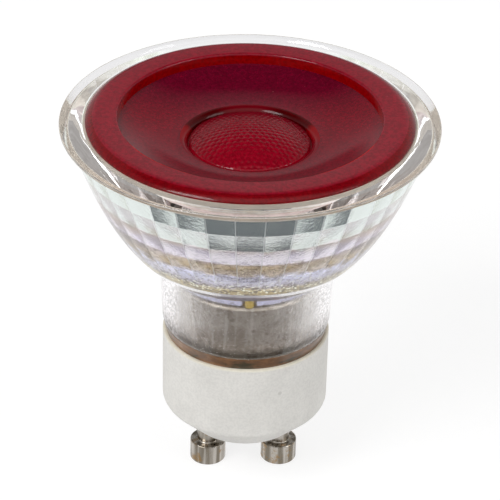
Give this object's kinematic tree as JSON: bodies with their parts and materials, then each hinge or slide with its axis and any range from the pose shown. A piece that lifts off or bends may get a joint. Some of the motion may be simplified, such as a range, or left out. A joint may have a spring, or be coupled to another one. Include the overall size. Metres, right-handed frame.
{
  "type": "led spotlight bulb",
  "caption": "Reflector spotlight bulb: faceted clear glass bowl, red stepped front lens, ceramic cap with a bevelled underside and two headed twist-lock pins.",
  "frame": {"origin": "on the lamp's axis, midway between the two pins, at their lower ends", "axes": "+Z along the lamp's axis from the pins to the lens; the pins lie on the X axis"},
  "size_m": [0.05, 0.05, 0.055],
  "materials": {
    "clear_glass": "clear pressed glass, faceted inside",
    "red_lens": "clear crimson moulded plastic",
    "clear_silicone": "clear cured silicone",
    "brown_cement": "brown lamp cement",
    "white_ceramic": "unglazed steatite, smooth matt",
    "nickel": "nickel plated, lightly stained",
    "bare_aluminium": "drawn, dull",
    "yellow_paste": "cured thermal paste",
    "white_board": "white solder mask on metal core",
    "led_white": "white package",
    "led_yellow": "yellow phosphor gel",
    "sleeve_white": "natural white moulded plastic",
    "board_green": "green solder mask",
    "can_black": "shrink sleeve",
    "ferrite": "dark sintered ferrite",
    "copper": "enamelled copper",
    "chip_black": "moulded epoxy",
    "resistor_blue": "lacquered",
    "resistor_black": "chip resistor film",
    "wire_red": "insulated wire",
    "wire_black": "insulated wire",
    "tinned_wire": "tinned copper wire"
  },
  "bodies": {
    "root": {"glass_reflector": "clear_glass", "front_lens": "red_lens", "lens_bond": "clear_silicone", "ceramic_base": "white_ceramic", "neck_bond": "brown_cement", "pin_left": "nickel", "pin_right": "nickel", "heat_sink_cup": "bare_aluminium", "thermal_pad": "yellow_paste", "led_board": "white_board", "led_package": "led_white", "led_phosphor": "led_yellow", "driver_sleeve": "sleeve_white", "driver_board": "board_green", "bulk_capacitor": "can_black", "coil_core": "ferrite", "coil_winding": "copper", "bridge_rectifier": "chip_black", "driver_chip": "chip_black", "flyback_diode": "chip_black", "chip_resistors": "resistor_black", "fuse_resistor": "resistor_blue", "led_wire_red": "wire_red", "led_wire_black": "wire_black", "mains_wire_left": "tinned_wire", "mains_wire_right": "tinned_wire"}
  },
  "joints": []
}
